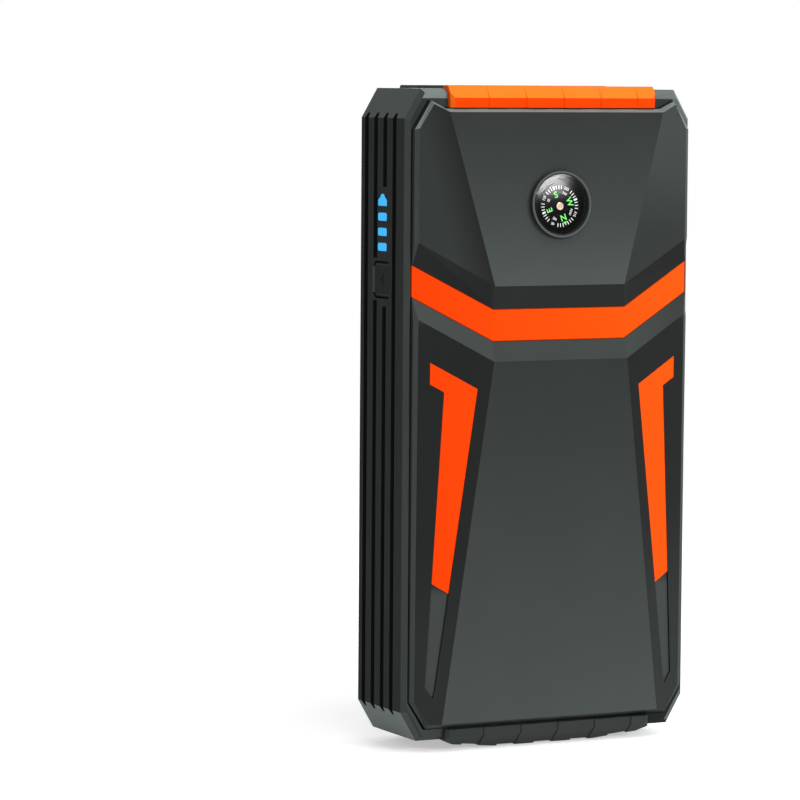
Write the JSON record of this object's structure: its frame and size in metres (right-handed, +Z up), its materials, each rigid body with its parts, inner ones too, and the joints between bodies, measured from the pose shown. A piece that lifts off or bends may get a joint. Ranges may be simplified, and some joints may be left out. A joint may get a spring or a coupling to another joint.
{
  "type": "jump starter pack",
  "caption": "Flat octagonal jump starter power bank with a faceted front, segmented corner bumpers, a button compass, an end torch and hinged port covers.",
  "frame": {"origin": "middle of the object's bounding box in X and Y, on the surface that the lower bumpers stand on", "axes": "+Z up along the case towards the port end, -Y out of the faceted front, +X to the right seen from the front; the button and charge gauge are in the -X side"},
  "size_m": [0.09, 0.0386, 0.1851],
  "materials": {
    "case_plastic": "fine matte texture",
    "trim_plastic": "satin",
    "orange_plastic": "fine cross-hatched texture",
    "seal_rubber": "matt",
    "screw_steel": "zinc plated",
    "clear_lens": "clear",
    "reflector_chrome": "bright",
    "lamp_chip": "satin",
    "capsule_black": "satin",
    "dial_black": "satin",
    "contact_brass": "bright",
    "socket_blue": "matt",
    "bar_copper": "bright",
    "tongue_white": "matt",
    "board_green": "satin",
    "component_black": "matt",
    "light_guide": "clear, lit blue",
    "cell_foil": "laminated foil",
    "pad_foam": "closed-cell foam",
    "tab_nickel": "plain"
  },
  "bodies": {
    "case": {"rear_case": "case_plastic", "front_cover": "case_plastic", "case_seal": "seal_rubber", "case_screws": "screw_steel", "chevron_inlay": "orange_plastic", "side_inlay_left": "orange_plastic", "side_inlay_right": "orange_plastic", "top_front_bumper": "orange_plastic", "top_rear_bumper": "trim_plastic", "bottom_front_bumper": "trim_plastic", "bottom_rear_bumper": "trim_plastic", "compass_bezel": "trim_plastic", "compass_capsule": "capsule_black", "compass_pivot": "contact_brass", "compass_lens": "clear_lens", "torch_lens": "clear_lens", "torch_reflector": "reflector_chrome", "torch_emitter": "lamp_chip", "jump_hinge_pin": "screw_steel", "jump_socket": "socket_blue", "jump_contacts": "contact_brass", "bus_bars": "bar_copper", "usb_hinge_pin": "screw_steel", "usb_a_shells": "screw_steel", "usb_a_tongues": "tongue_white", "usb_c_shell": "screw_steel", "usb_c_tongue": "component_black", "port_board": "board_green", "port_board_screws": "screw_steel", "button_switch": "component_black", "gauge_light_guide": "light_guide", "gauge_board": "board_green", "gauge_board_screws": "screw_steel", "main_board": "board_green", "board_components": "component_black", "main_board_screws": "screw_steel", "battery_cells": "cell_foil", "cell_pads": "pad_foam", "cell_tabs": "tab_nickel", "tab_board": "board_green"},
    "jump_cover": {"jump_cover": "case_plastic"},
    "usb_cover": {"usb_cover": "case_plastic"},
    "power_button": {"power_button": "trim_plastic"},
    "compass_card": {"compass_dial": "dial_black"}
  },
  "joints": [
    {"name": "jump_cover_hinge", "type": "hinge", "parent": "case", "child": "jump_cover", "pos_m": [0.02715, -0.00675, 0.1833], "axis": [1, 0, 0], "range_deg": [0, 90]},
    {"name": "usb_cover_hinge", "type": "hinge", "parent": "case", "child": "usb_cover", "pos_m": [-0.02245, -0.00675, 0.1833], "axis": [1, 0, 0], "range_deg": [0, 90]},
    {"name": "power_button_press", "type": "slide", "parent": "case", "child": "power_button", "axis": [1, 0, 0], "range_m": [0, 0.0005], "stiffness_N_per_m": 2000},
    {"name": "compass_card_spin", "type": "hinge", "parent": "case", "child": "compass_card", "pos_m": [0, -0.01729, 0.15185], "axis": [0, -0.9989, 0.0478], "continuous": true}
  ]
}
